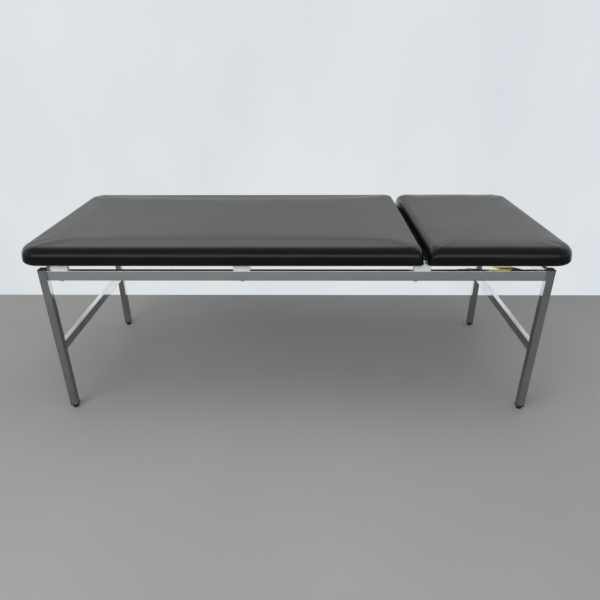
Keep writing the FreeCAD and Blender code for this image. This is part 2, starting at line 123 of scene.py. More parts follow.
def colour_ramp(tree, value, stops):
    """A colour that runs through the stops; each is (place, colour)."""
    ramp = tree.nodes.new("ShaderNodeValToRGB")
    elements = ramp.color_ramp.elements
    while len(elements) < len(stops):
        elements.new(0.5)
    for element, (place, colour) in zip(elements, stops):
        element.position = place
        element.color = (*colour, 1.0)
    tree.links.new(value, ramp.inputs["Fac"])
    return ramp.outputs["Color"]


def scaled(tree, colour, factor):
    """A colour multiplied by a value."""
    node = tree.nodes.new("ShaderNodeVectorMath")
    node.operation = "SCALE"
    tree.links.new(colour, node.inputs[0])
    tree.links.new(factor, node.inputs["Scale"])
    return node.outputs["Vector"]


def by_ray(tree, plain, mirrored, seen):
    """One shader for light, another for reflections and a third for what the camera sees."""
    path = tree.nodes.new("ShaderNodeLightPath")
    result = plain
    for ray, shader in (("Is Glossy Ray", mirrored), ("Is Camera Ray", seen)):
        choice = tree.nodes.new("ShaderNodeMixShader")
        tree.links.new(path.outputs[ray], choice.inputs["Fac"])
        tree.links.new(result, choice.inputs[1])
        tree.links.new(shader, choice.inputs[2])
        result = choice.outputs["Shader"]
    return result


def bump_chain(tree, shader, layers):
    """Adds bump layers one on another; each is (height value, strength, distance in metres)."""
    normal = None
    for height, strength, distance in layers:
        bump = tree.nodes.new("ShaderNodeBump")
        bump.inputs["Strength"].default_value = strength
        bump.inputs["Distance"].default_value = distance
        tree.links.new(height, bump.inputs["Height"])
        if normal is not None:
            tree.links.new(normal, bump.inputs["Normal"])
        normal = bump.outputs["Normal"]
    tree.links.new(normal, shader.inputs["Normal"])


# Chrome: the axis its tube runs along, darker and paler grey, roughness where clear and where hazy. The
# greys make lit and shaded copies of one chrome: painted light on the long rails, painted shade on the
# uprights.
chrome_lit_and_shaded_grades = {
    "upright_chrome": (2, 0.53, 0.62, 0.03, 0.08),
    "long_chrome": (0, 0.88, 0.96, 0.09, 0.16),
    "cross_chrome": (1, 0.64, 0.74, 0.03, 0.07),
}
chrome_line_stretch = 0.02
dull_stops = ((0.70, (1, 1, 1)), (0.78, (0.62, 0.58, 0.52)))
dull_share = 0.6
# Plastic, enamel and cloth: two colours, roughness, and the scale and strength of the grain
plastic_grades = {
    "black_plastic": ((0.016, 0.016, 0.017), (0.028, 0.028, 0.028), 0.42, 900.0, 0.25),
    "white_nylon": ((0.83, 0.84, 0.80), (0.90, 0.90, 0.87), 0.48, 300.0, 0.20),
    # The hinge's black enamel is also painted shade: it makes the gap between the two tops show dark.
    "black_steel": ((0.018, 0.018, 0.020), (0.030, 0.030, 0.032), 0.38, 700.0, 0.20),
    # The dust cloth's black is partly its own colour and partly painted shade under the boards.
    "lining_cloth": ((0.014, 0.014, 0.015), (0.024, 0.024, 0.025), 0.86, 1500.0, 0.60),
}
plastic_roughness_spread = 0.06
# Zinc plate: the colours that its cloudy tint runs through, and its roughness
plate_grades = {
    "yellow_zinc": (((0.25, (0.62, 0.42, 0.13)), (0.45, (0.76, 0.58, 0.22)),
                     (0.6, (0.66, 0.60, 0.27)), (0.78, (0.72, 0.47, 0.30))), 0.30),
    "bright_zinc": (((0.3, (0.56, 0.57, 0.59)), (0.7, (0.70, 0.71, 0.72))), 0.33),
}
plate_roughness_spread = (0.07, 0.09)
plate_line_stretch = (1, 1, 0.1)
vinyl_stops = ((0.3, (0.0035, 0.0035, 0.004)), (0.72, (0.0055, 0.0053, 0.005)))
vinyl_roughness = (0.18, 0.26)
vinyl_grain_scale = 620.0
vinyl_sheen = 0.36
vinyl_sheen_tint = (1.0, 0.975, 0.94, 1.0)
board_stops = ((0.28, (0.36, 0.22, 0.11)), (0.5, (0.55, 0.38, 0.21)), (0.74, (0.66, 0.49, 0.30)))
board_roughness = (0.55, 0.72)


def chrome_material(name, run_axis, dark, pale, clear, hazy):
    """Chrome plate on polished tube: fine polishing lines along the tube, haze and a few dull spots."""
    material, tree, shader = new_material(name)
    stretch = [1.0, 1.0, 1.0]
    stretch[run_axis] = chrome_line_stretch
    lines = noise_value(tree, scale=900.0, stretch=stretch, detail=2.0)
    haze = noise_value(tree, scale=9.0, detail=4.0, rough=0.6)
    spots = noise_value(tree, scale=160.0, detail=2.0, rough=0.7)
    waves = noise_value(tree, scale=22.0, detail=1.0)
    tint = colour_ramp(tree, haze, ((0.3, (dark, dark, dark * 1.02)), (0.7, (pale, pale, pale * 0.99))))
    blend = tree.nodes.new("ShaderNodeMix")
    blend.data_type = "RGBA"
    blend.blend_type = "MULTIPLY"
    blend.inputs["Factor"].default_value = dull_share
    tree.links.new(tint, blend.inputs["A"])
    tree.links.new(colour_ramp(tree, spots, dull_stops), blend.inputs["B"])
    tree.links.new(blend.outputs["Result"], shader.inputs["Base Color"])
    tree.links.new(remap(tree, haze, clear, hazy), shader.inputs["Roughness"])
    shader.inputs["Metallic"].default_value = 1.0
    bump_chain(tree, shader, ((waves, 0.06, 0.004), (lines, 0.05, 0.0004)))
    return material


def vinyl_material():
    """Black upholstery vinyl: a fine pressed grain, a soft sheen and faint rubbed patches."""
    material, tree, shader = new_material("black_vinyl")
    rubbed = noise_value(tree, scale=5.0, detail=5.0, rough=0.6)
    fine = noise_value(tree, scale=60.0, rough=0.6)
    ripples = noise_value(tree, scale=14.0, detail=2.0)
    grain = tree.nodes.new("ShaderNodeTexVoronoi")
    grain.feature = "DISTANCE_TO_EDGE"
    grain.inputs["Scale"].default_value = vinyl_grain_scale
    tree.links.new(place_vector(tree), grain.inputs["Vector"])
    cells = remap(tree, grain.outputs["Distance"], 0.0, 1.0, from_low=0.0, from_high=0.12)
    tree.links.new(colour_ramp(tree, rubbed, vinyl_stops), shader.inputs["Base Color"])
    tree.links.new(remap(tree, rubbed, *vinyl_roughness), shader.inputs["Roughness"])
    shader.inputs["Specular IOR Level"].default_value = vinyl_sheen
    shader.inputs["Specular Tint"].default_value = vinyl_sheen_tint
    bump_chain(tree, shader, ((ripples, 0.10, 0.004), (fine, 0.08, 0.0008), (cells, 0.16, 0.00022)))
    return material


def plastic_material(name, low, high, roughness, grain_scale, grain_strength):
    """A plain moulded, enamelled or woven surface with a slight cloud and a fine grain."""
    material, tree, shader = new_material(name)
    cloud = noise_value(tree, scale=35.0)
    spread = plastic_roughness_spread
    tree.links.new(colour_ramp(tree, cloud, ((0.3, low), (0.7, high))), shader.inputs["Base Color"])
    tree.links.new(remap(tree, cloud, roughness - spread, roughness + spread), shader.inputs["Roughness"])
    grain = noise_value(tree, scale=grain_scale, detail=2.0)
    bump_chain(tree, shader, ((grain, grain_strength, 0.0005),))
    return material


def plated_material(name, stops, roughness):
    """Zinc plate with a cloudy tint and fine rolling lines."""
    material, tree, shader = new_material(name)
    cloud = noise_value(tree, scale=28.0, detail=4.0, rough=0.6)
    below, above = plate_roughness_spread
    tree.links.new(colour_ramp(tree, cloud, stops), shader.inputs["Base Color"])
    tree.links.new(remap(tree, cloud, roughness - below, roughness + above), shader.inputs["Roughness"])
    shader.inputs["Metallic"].default_value = 1.0
    lines = noise_value(tree, scale=500.0, stretch=plate_line_stretch, detail=2.0)
    bump_chain(tree, shader, ((lines, 0.12, 0.0004),))
    return material


def board_material():
    """Birch plywood: long grain along the table with darker streaks and small pores."""
    material, tree, shader = new_material("birch_board")
    grain = noise_value(tree, scale=38.0, stretch=(0.09, 1.0, 1.0), detail=6.0, rough=0.62)
    pores = noise_value(tree, scale=420.0, stretch=(0.08, 1.0, 1.0), detail=2.0)
    tree.links.new(colour_ramp(tree, grain, board_stops), shader.inputs["Base Color"])
    tree.links.new(remap(tree, grain, *board_roughness), shader.inputs["Roughness"])
    bump_chain(tree, shader, ((grain, 0.2, 0.0006), (pores, 0.25, 0.0003)))
    return material


materials = {"black_vinyl": vinyl_material(), "birch_board": board_material()}
for make, grades in ((chrome_material, chrome_lit_and_shaded_grades), (plastic_material, plastic_grades),
                     (plated_material, plate_grades)):
    for grade_name, grade in grades.items():
        materials[grade_name] = make(grade_name, *grade)

side_rails = ("front_rail", "back_rail")
cross_tubes = ("left_end_rail", "right_end_rail", "left_stretcher", "right_stretcher")


def paint(obj, material):
    """Gives a carried-over node its finish through its own material slots."""
    if not obj.material_slots:
        obj.data.materials.append(material)
    for slot in obj.material_slots:
        slot.material = material


def finish_nodes():
    """Paints every node by its slot in the record, and the chrome by the way its tube runs, in lit and
    shaded copies.
    """
    slots = {}
    for subpart in frame["record"]["subparts"]:
        slots[subpart["node"]] = subpart["material_slot"]
    for name, obj in nodes.items():
        slot = slots[name]
        if slot == "chromed_tube":
            if name in side_rails:
                slot = "long_chrome"
            elif name in cross_tubes:
                slot = "cross_chrome"
            else:
                slot = "upright_chrome"
        paint(obj, materials[slot])


def shade_smooth(mesh):
    mesh.polygons.foreach_set("use_smooth", [True] * len(mesh.polygons))


def add_mesh(name, vertices, faces):
    mesh = bpy.data.meshes.new(name)
    mesh.from_pydata(vertices, [], faces)
    mesh.update()
    return link(bpy.data.objects.new(name, mesh))


def add_piece(name, vertices, faces, material, body, slot):
    """A smooth visual-only piece that rides on a body."""
    obj = add_mesh(name, vertices, faces)
    shade_smooth(obj.data)
    obj.data.materials.append(materials[material])
    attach(obj, body)


# Cushions. Each is one closed skin: a top, a rolled edge, a side, a hem that is
# turned under the board, and a pocket that the board fills.
grid_step = 0.0145
arc_steps = 9
core_inset = 0.092
inner_steps = 5
roll_steps = 10
side_steps = 3
lower_steps = 5
outline_inset = 0.001
top_swell = 0.0025
outer_radius = 0.072
split_radius = 0.027
# Each pair below is a size on the outer sides and the same size on the split side.
main_roll_run = (0.031, 0.023)
head_roll_run = (0.031, 0.026)
crest_radius = (0.042, 0.034)
roll_rise = (0.036, 0.042)
lower_roll = (0.0155, 0.0035)
hem_inset = (0.0275, 0.026)
hem_thickness = (0.0008, 0.0001)
pocket_inset = (0.018, 0.004)
side_bulge = (0.0035, 0.0)
fold_edge = 0.0004
pocket_gap = 0.0002


def stations(length, start_radius, end_radius, straight_count):
    """Distances along one side, from the middle of one corner to the middle of the next."""
    start_arc = start_radius * math.pi / 4
    end_arc = end_radius * math.pi / 4
    straight = length - start_radius - end_radius
    places = [start_arc * i / arc_steps for i in range(arc_steps)]
    places += [start_arc + straight * i / straight_count for i in range(straight_count)]
    places += [start_arc + straight + end_arc * i / arc_steps for i in range(arc_steps + 1)]
    return places


def side_point(distance, length, start_radius, end_radius):
    """Place along the side, depth behind it, and the outward normal in the side's own frame."""
    start_arc = start_radius * math.pi / 4
    straight = length - start_radius - end_radius
    if distance < start_arc:
        angle = math.pi / 4 - distance / start_radius
        return (start_radius * (1 - math.sin(angle)), start_radius * (1 - math.cos(angle)),
                -math.sin(angle), math.cos(angle))
    if distance <= start_arc + straight:
        return start_radius + distance - start_arc, 0.0, 0.0, 1.0
    angle = (distance - start_arc - straight) / end_radius
    return (length - end_radius * (1 - math.sin(angle)), end_radius * (1 - math.cos(angle)),
            math.sin(angle), math.cos(angle))


def walk_round(low, high, half_y, left_radius, right_radius, count_x, count_y):
    """Points and outward normals round a rectangle with rounded corners, and three sides' stations."""
    length = high - low
    width = 2 * half_y
    front = stations(length, left_radius, right_radius, count_x)
    right = stations(width, right_radius, right_radius, count_y)
    back = stations(length, right_radius, left_radius, count_x)
    left = stations(width, left_radius, left_radius, count_y)
    walk = ((front, length, left_radius, right_radius, low, -half_y, (1, 0), (0, 1)),
            (right, width, right_radius, right_radius, high, -half_y, (0, 1), (-1, 0)),
            (back, length, right_radius, left_radius, high, half_y, (-1, 0), (0, -1)),
            (left, width, left_radius, left_radius, low, half_y, (0, -1), (1, 0)))
    points = []
    normals = []
    for places, run, first, last, x0, y0, along, inward in walk:
        for distance in places[:-1]:
            a, b, na, nb = side_point(distance, run, first, last)
            points.append((x0 + along[0] * a + inward[0] * b, y0 + along[1] * a + inward[1] * b))
            normals.append((along[0] * na - inward[0] * nb, along[1] * na - inward[1] * nb))
    return np.array(points), np.array(normals), (front, right, left)


class Cushion:
    """Builds the rings of one cushion's skin between its outline, the crest of its roll and its core."""

    def __init__(self, low_x, high_x, half_y, split_side, roll_run):
        length = high_x - low_x
        width = 2 * half_y
        outer_run, split_run = roll_run
        radii = (outer_radius, split_radius)
        runs = (outer_run, split_run)
        bends = crest_radius
        if split_side < 0:
            radii = radii[::-1]
            runs = runs[::-1]
            bends = bends[::-1]
        count_x = max(4, round((length - sum(radii)) / grid_step))
        count_y = max(4, round((width - 2 * max(radii)) / grid_step))
        self.outline, self.normals, sides = walk_round(low_x, high_x, half_y, *radii, count_x, count_y)
        self.crest, _, _ = walk_round(low_x + runs[0], high_x - runs[1], half_y - outer_run, *bends,
                                      count_x, count_y)
        self.share = np.clip(self.normals[:, 0] * split_side, 0, 1) ** 2
        front, right, left = sides
        self.steps_x = len(front) - 1
        self.steps_y = len(right) - 1
        across = np.array(front) / front[-1]
        left_up = 1 - np.array(left)[::-1] / left[-1]
        right_up = np.array(right) / right[-1]
        core_x = low_x + core_inset + (length - 2 * core_inset) * across
        self.core = np.zeros((self.steps_x + 1, self.steps_y + 1, 2))
        for j in range(self.steps_y + 1):
            up_share = left_up[j] + (right_up[j] - left_up[j]) * across
            self.core[:, j, 0] = core_x
            self.core[:, j, 1] = -half_y + core_inset + (width - 2 * core_inset) * up_share
        self.rim = rim_of_grid(self.steps_x, self.steps_y)
        self.rim_points = np.array([self.core[i, j] for i, j in self.rim])

    def between(self, pair):
        """A size for every point of the outline, from its outer and its split value."""
        outer, split = pair
        return outer + (split - outer) * self.share

    def level(self, flat, height):
        """Plan points lifted to one height, or to a height of their own each."""
        return np.column_stack([flat, np.broadcast_to(np.asarray(height, float), (len(flat),))])

    def ring(self, inset, height, bulge=0.0):
        """Points of one loop: inset from the outline, at a height, pushed out by a bulge."""
        push = np.broadcast_to(np.asarray(bulge - inset, float), (len(self.outline),))
        return self.level(self.outline + self.normals * push[:, None], height)

    def roll(self, share, height, bulge):
        """Points of one loop of the roll; the share is 0 at the outline and 1 at the crest."""
        flat = self.outline + (self.crest - self.outline) * share
        return self.level(flat + self.normals * np.reshape(bulge, (-1, 1)), height)

    def inside(self, share, height):
        """Points of one loop between the crest and the rim of the core."""
        return self.level(self.crest + (self.rim_points - self.crest) * share, height)


def rim_of_grid(steps_x, steps_y):
    """The grid places round the edge, from the first corner along the front."""
    rim = [(i, 0) for i in range(steps_x)]
    rim += [(steps_x, j) for j in range(steps_y)]
    rim += [(i, steps_y) for i in range(steps_x, 0, -1)]
    rim += [(0, j) for j in range(steps_y, 0, -1)]
    return rim


def cushion_rings(plan, top, bottom, board_top):
    """The loops of the skin in their order, from the core of the top round to the pocket."""
    rise = plan.between(roll_rise)
    low = plan.between(lower_roll)
    hem = plan.between(hem_inset)
    thick = plan.between(hem_thickness)
    pocket = plan.between(pocket_inset)
    bulge = plan.between(side_bulge)
    rings = []
    for step in range(inner_steps, 0, -1):
        rings.append(plan.inside(step / (inner_steps + 1), top))
    for step in range(roll_steps + 1):
        angle = math.pi / 2 * (1 - step / roll_steps)
        swell = bulge * math.cos(angle) ** 2
        rings.append(plan.roll(1 - math.cos(angle), top - rise * (1 - math.sin(angle)), swell))
    side_top = top - rise
    side_low = bottom + low
    for step in range(1, side_steps + 1):
        share = step / side_steps
        rings.append(plan.ring(0.0, side_top + (side_low - side_top) * share, bulge))
    for step in range(1, lower_steps + 1):
        angle = math.pi / 2 * step / lower_steps
        swell = bulge * math.cos(angle) ** 2
        height = side_low - (low + thick) * math.sin(angle)
        rings.append(plan.ring(low * (1 - math.cos(angle)), height, swell))
    rings.append(plan.ring((low + hem) / 2, bottom - thick))
    rings.append(plan.ring(hem - fold_edge, bottom - thick))
    rings.append(plan.ring(hem, bottom))
    rings.append(plan.ring(pocket, bottom + pocket_gap))
    rings.append(plan.ring(pocket, board_top + pocket_gap))
    return rings


def cushion_skin(plan, top, bottom, board_top):
    """Vertices and faces of the closed skin, with the loops listed from the core outwards."""
    rings = cushion_rings(plan, top, bottom, board_top)
    core_count = (plan.steps_x + 1) * (plan.steps_y + 1)
    flat_core = plan.core.reshape(-1, 2)
    top_core = np.column_stack([flat_core, np.full(core_count, top)])
    low_core = np.column_stack([flat_core, np.full(core_count, board_top + pocket_gap)])
    vertices = np.vstack([top_core] + rings + [low_core])
    ring_size = len(plan.outline)
    rim = [i * (plan.steps_y + 1) + j for i, j in plan.rim]
    low_start = core_count + ring_size * len(rings)
    loops = [rim]
    for number in range(len(rings)):
        loops.append(list(range(core_count + number * ring_size, core_count + (number + 1) * ring_size)))
    loops.append([low_start + index for index in rim])
    faces = []
    for i in range(plan.steps_x):
        for j in range(plan.steps_y):
            a = i * (plan.steps_y + 1) + j
            b = a + plan.steps_y + 1
            faces.append((a, b, b + 1, a + 1))
            faces.append((low_start + a, low_start + a + 1, low_start + b + 1, low_start + b))
    for inner, outer in zip(loops, loops[1:]):
        for k in range(ring_size):
            following = (k + 1) % ring_size
            faces.append((inner[following], inner[k], outer[k], outer[following]))
    return vertices, faces, loops


cloth_frames = 20
cloth_values = {
    "quality": 6,
    "mass": 0.4,
    "tension_stiffness": 40.0,
    "compression_stiffness": 40.0,
    "shear_stiffness": 20.0,
    "bending_stiffness": 2.0,
    "use_pressure": True,
    "uniform_pressure_force": 3.0,
}
cloth_cap = 0.0034
crease_passes = 14
held_height = 0.0157


def inflate(obj, held):
    """Lets the skin swell under pressure as cloth, then limits how far each point has moved."""
    before = np.array([v.co for v in obj.data.vertices])
    group = obj.vertex_groups.new(name="held")
    for index in held:
        group.add([int(index)], 1.0, "REPLACE")
    cloth = obj.modifiers.new("cloth", "CLOTH")
    for key, value in cloth_values.items():
        setattr(cloth.settings, key, value)
    cloth.settings.effector_weights.gravity = 0.0
    cloth.settings.vertex_group_mass = "held"
    cloth.collision_settings.use_collision = False
    cloth.point_cache.frame_start = 1
    cloth.point_cache.frame_end = cloth_frames
    scene = bpy.context.scene
    for number in range(1, cloth_frames + 1):
        scene.frame_set(number)
    evaluated = obj.evaluated_get(bpy.context.evaluated_depsgraph_get())
    after = np.array([v.co for v in evaluated.data.vertices])
    obj.modifiers.remove(cloth)
    obj.vertex_groups.remove(group)
    scene.frame_set(1)
    move = after - before
    size = np.linalg.norm(move, axis=1, keepdims=True)
    limited = move * (cloth_cap * np.tanh(size / cloth_cap) / np.maximum(size, 1e-9))
    return before + evened(obj.data, limited)


def evened(mesh, move):
    """Averages the movement between neighbours, so that broad swelling stays and creases go."""
    pairs = np.zeros(len(mesh.edges) * 2, dtype=np.int64)
    mesh.edges.foreach_get("vertices", pairs)
    pairs = pairs.reshape(-1, 2)
    valence = np.bincount(pairs.ravel(), minlength=len(move))[:, None]
    for _ in range(crease_passes):
        total = np.zeros_like(move)
        np.add.at(total, pairs[:, 0], move[pairs[:, 1]])
        np.add.at(total, pairs[:, 1], move[pairs[:, 0]])
        move = 0.5 * move + 0.5 * total / valence
    return move


# Pleats are counted by the radian round a corner, and ripples by the metre along a side.
pleat_count = 13.0
pleat_depth = 0.0016
pleat_sharpness = 0.6
pleat_middle = 0.7
pleat_height = 0.030
pleat_fade = 1.3
pleat_corner_focus = 1.5
split_pleat_share = 0.45
split_share_limit = 0.02
ripple_depth = 0.0011
ripple_drop = 0.018
ripple_spread = 0.016
broad_ripple_count = 9.0
broad_ripple_shift = 3.1
fine_ripple_count = 23.0
fine_ripple_shift = 5.3
fine_ripple_share = 0.5
main_seed = 1.7
head_seed = 4.2


def gather(plan, points, loops, bottom, top, seed):
    """Small pleats where the vinyl is drawn under the corners, and a slow ripple along the sides."""
    corner = np.minimum(np.abs(plan.normals[:, 0]), np.abs(plan.normals[:, 1])) * math.sqrt(2)
    angles = np.arctan2(plan.normals[:, 1], plan.normals[:, 0])
    steps = np.linalg.norm(np.roll(plan.outline, -1, axis=0) - plan.outline, axis=1)
    travel = np.concatenate([[0.0], np.cumsum(steps)[:-1]])
    outer = np.where(plan.share > split_share_limit, split_pleat_share, 1.0)
    pleat = np.abs(np.sin(angles * pleat_count + seed)) ** pleat_sharpness - pleat_middle
    focus = corner ** pleat_corner_focus
    broad = [noise.noise(Vector((s * broad_ripple_count, seed * broad_ripple_shift, 0.0))) for s in travel]
    fine = [noise.noise(Vector((s * fine_ripple_count, seed * fine_ripple_shift, 1.0))) for s in travel]
    ripple = np.array(broad) + fine_ripple_share * np.array(fine)
    for loop in loops[1:-2]:
        index = np.array(loop)
        height = points[index, 2]
        low = np.clip(1 - (height - bottom) / pleat_height, 0, 1)
        middle = np.exp(-((height - (top - ripple_drop)) / ripple_spread) ** 2)
        push = pleat_depth * pleat * focus * low ** pleat_fade * outer + ripple_depth * ripple * middle
        points[index, 0] += plan.normals[:, 0] * push
        points[index, 1] += plan.normals[:, 1] * push
    return points


def make_cushion(name, node, board, low_x, high_x, split_side, roll_run, body, seed):
    """One cover; the split side is 1 where the other top lies to its right and -1 to its left."""
    _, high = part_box(node)
    board_low, board_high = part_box(board)
    plan = Cushion(low_x, high_x, high[1] - outline_inset, split_side, roll_run)
    top = high[2] + top_swell
    bottom = board_low[2]
    points, faces, loops = cushion_skin(plan, top, bottom, board_high[2])
    obj = add_mesh(name, points.tolist(), faces)
    mesh = obj.data
    held = np.where(points[:, 2] < bottom + held_height)[0]
    points = inflate(obj, held)
    points = gather(plan, points, loops, bottom, top, seed)
    mesh.vertices.foreach_set("co", points.ravel())
    mesh.update()
    shade_smooth(mesh)
    mesh.materials.append(materials["black_vinyl"])
    smooth = obj.modifiers.new("smooth", "SUBSURF")
    smooth.levels = 1
    smooth.render_levels = 1
    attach(obj, body)
    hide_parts(node)


def build_cushions():
    main_low, main_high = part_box("main_cushion")
    head_low, head_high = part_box("head_cushion")
    make_cushion("main_cover", "main_cushion", "main_board", main_low[0] + outline_inset, main_high[0],
                 1, main_roll_run, "frame", main_seed)
    make_cushion("head_cover", "head_cushion", "head_board", head_low[0], head_high[0] - outline_inset,
                 -1, head_roll_run, "headrest", head_seed)


# Dust cloths, staples and weld beads, which are visual only
staple_crown = 0.0105
staple_wire = 0.0009
staple_sides = 6
staple_pitch = 0.042
staple_inset = 0.0235
staple_wander = 0.0006
staple_turn = 0.12
staple_foot_share = 0.96
staple_seed = 7
bead_radius = 0.0016
bead_sides = 8
bead_step = 0.0015
bead_corner = 0.0025
bead_corner_steps = 3
# A bead's thickness as shares of its radius: an even part, a slow wave and a random part
bead_even = 0.62
bead_wave = 0.18
bead_wave_step = 1.9
bead_scatter = 0.2
bead_seed = 11
# The dust cloths: low and high X and half the width of each
lining_plans = {"main": (-0.880, 0.418, 0.309), "head": (0.468, 0.880, 0.289)}
lining_thickness = 0.0006
lining_sag = 0.0022
lining_even_sag = 0.6
lining_wave_count = 5.0
lining_wave_layer = 0.4
lining_slack_run = 0.07
lining_step = 0.02
lining_edge = 0.007
lining_pitch = 0.06


def build_linings():
    """A thin black dust cloth stapled under each board, clear of the blocks and the brackets; its black
    also stands in for the shade under the boards.
    """
    for name, body in (("main", "frame"), ("head", "headrest")):
        board_low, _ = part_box(name + "_board")
        low_x, high_x, half_y = lining_plans[name]
        count_x = round((high_x - low_x) / lining_step)
        count_y = round(2 * half_y / lining_step)
        vertices = []
        for layer in (0, 1):
            for i in range(count_x + 1):
                for j in range(count_y + 1):
                    x = low_x + (high_x - low_x) * i / count_x
                    y = half_y * (2 * j / count_y - 1)
                    edge = min(x - low_x, high_x - x, half_y - abs(y))
                    slack = min(1, edge / lining_slack_run)
                    spot = Vector((x * lining_wave_count, y * lining_wave_count, lining_wave_layer))
                    sag = max(0.0, lining_sag * slack * (lining_even_sag + noise.noise(spot)))
                    z = board_low[2] if layer else board_low[2] - lining_thickness - sag
                    vertices.append((x, y, z))
        layer_size = (count_x + 1) * (count_y + 1)
        faces = []
        for i in range(count_x):
            for j in range(count_y):
                a = i * (count_y + 1) + j
                b = a + count_y + 1
                faces.append((a, a + 1, b + 1, b))
                faces.append((layer_size + a, layer_size + b, layer_size + b + 1, layer_size + a + 1))
        rim = [i * (count_y + 1) + j for i, j in rim_of_grid(count_x, count_y)]
        for here, there in zip(rim, rim[1:] + rim[:1]):
            faces.append((here, there, layer_size + there, layer_size + here))
        add_piece(name + "_lining", vertices, faces, "lining_cloth", body, "black_vinyl")


def tube_along(parts, path, radius, sides, closed):
    """Adds a tube round a path to lists of vertices and faces; radius may be one value or one per point."""
    vertices, faces = parts
    base = len(vertices)
    count = len(path)
    radii = np.broadcast_to(np.asarray(radius, float), (count,))
    slant = Vector((0.36, 0.48, 0.8))
    for k, point in enumerate(path):
        before = path[(k - 1) % count] if closed or k else point
        after = path[(k + 1) % count] if closed or k < count - 1 else point
        heading = (after - before).normalized()
        first = heading.cross(slant).normalized()
        second = heading.cross(first)
        for s in range(sides):
            turn = 2 * math.pi * s / sides
            vertices.append(point + (first * math.cos(turn) + second * math.sin(turn)) * radii[k])
    runs = count if closed else count - 1
    for k in range(runs):
        here = base + k * sides
        there = base + (k + 1) % count * sides
        for s in range(sides):
            t = (s + 1) % sides
            faces.append((here + s, here + t, there + t, there + s))
    if not closed:
        faces.append(tuple(base + s for s in reversed(range(sides))))
        faces.append(tuple(base + (count - 1) * sides + s for s in range(sides)))


def staple_run(start, end, pitch):
    """Staples at even steps on a straight run, with the direction of each."""
    along = (end - start).normalized()
    count = max(1, round((end - start).length / pitch))
    return [(start.lerp(end, k / count), along) for k in range(count + 1)]


def hem_staples(low, high, outer_x, face):
    """The staples through the turned-under vinyl, along the three outer edges of one board."""
    near = Vector((outer_x, low[1] + outer_radius, face))
    far = Vector((outer_x, high[1] - outer_radius, face))
    spots = staple_run(near, far, staple_pitch)
    for y in (low[1] + staple_inset, high[1] - staple_inset):
        spots += staple_run(Vector((low[0] + outer_radius, y, face)),
                            Vector((high[0] - outer_radius, y, face)), staple_pitch)
    return spots


def lining_staples(low_x, high_x, half_y, face):
    """The staples round the edge of a dust cloth."""
    corners = [Vector((low_x, -half_y, face)), Vector((high_x, -half_y, face)),
               Vector((high_x, half_y, face)), Vector((low_x, half_y, face))]
    spots = []
    for start, end in zip(corners, corners[1:] + corners[:1]):
        spots += staple_run(start, end, lining_pitch)[:-1]
    return spots


def build_staples():
    """Staples under the boards, each a little askew."""
    rng = random.Random(staple_seed)
    for name, body in (("main", "frame"), ("head", "headrest")):
        low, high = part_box(name + "_cushion")
        board_low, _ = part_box(name + "_board")
        outer_x = low[0] + staple_inset if name == "main" else high[0] - staple_inset
        spots = hem_staples(low, high, outer_x, board_low[2] - hem_thickness[0])
        low_x, high_x, half_y = lining_plans[name]
        spots += lining_staples(low_x + lining_edge, high_x - lining_edge, half_y - lining_edge,
                                board_low[2] - lining_thickness)
        parts = ([], [])
        sunk = Vector((0, 0, staple_wire * 2))
        for place, along in spots:
            turn = Matrix.Rotation(rng.uniform(-staple_turn, staple_turn), 3, "Z")
            half = turn @ along * (staple_crown / 2)
            middle = place + Vector((rng.uniform(-1, 1), rng.uniform(-1, 1), -0.5)) * staple_wander
            path = [middle - half + sunk, middle - half * staple_foot_share,
                    middle + half * staple_foot_share, middle + half + sunk]
            tube_along(parts, path, staple_wire / 2, staple_sides, False)
        add_piece(name + "_staples", *parts, "bright_zinc", body, "bright_zinc")


def joint_loop(centre, across, half_across, half_up):
    """A closed path round a tube's end, in the plane of the leg that it meets."""
    upward = Vector((0, 0, 1))
    corners = []
    for number, (side_a, side_b) in enumerate(((1, 1), (-1, 1), (-1, -1), (1, -1))):
        for step in range(bead_corner_steps + 1):
            turn = math.pi / 2 * (number + step / bead_corner_steps)
            a = side_a * (half_across - bead_corner) + bead_corner * math.cos(turn)
            b = side_b * (half_up - bead_corner) + bead_corner * math.sin(turn)
            corners.append(centre + across * a + upward * b)
    points = []
    for here, there in zip(corners, corners[1:] + corners[:1]):
        count = max(1, round((there - here).length / bead_step))
        points += [here.lerp(there, k / count) for k in range(count)]
    return points


def build_welds():
    """A polished weld bead round every tube end, where it meets a leg."""
    rng = random.Random(bead_seed)
    parts = ([], [])
    for name in side_rails + cross_tubes:
        low, high = (Vector(corner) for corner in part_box(name))
        size = high - low
        along = 0 if name in side_rails else 1
        across = Vector((0, 1, 0)) if name in side_rails else Vector((1, 0, 0))
        for end in (low, high):
            centre = (low + high) / 2
            centre[along] = end[along]
            path = joint_loop(centre, across, size[1 - along] / 2, size.z / 2)
            shares = [bead_even + bead_wave * math.sin(k * bead_wave_step) + bead_scatter * rng.random()
                      for k in range(len(path))]
            radii = [bead_radius * share for share in shares]
            tube_along(parts, path, radii, bead_sides, True)
    add_piece("weld_beads", *parts, "cross_chrome", "frame", "chromed_tube")


# Studio: a pale grey floor and a white one-sided backdrop close behind the table
floor_half = 40.0
floor_stops = ((0.3, (0.34, 0.33, 0.317)), (0.7, (0.375, 0.365, 0.35)))
floor_roughness = 0.75
# Painted reflection: the share of the floor's brightness that glossy rays see.
painted_floor_reflection_share = 0.5
wall_half = 4.0
wall_height = 3.2
wall_y = 0.70
wall_colour = (0.80, 0.82, 0.83, 1.0)
wall_roughness = 0.85
seen_wall_stops = ((0.3, (0.68, 0.72, 0.76)), (0.7, (0.76, 0.79, 0.81)))
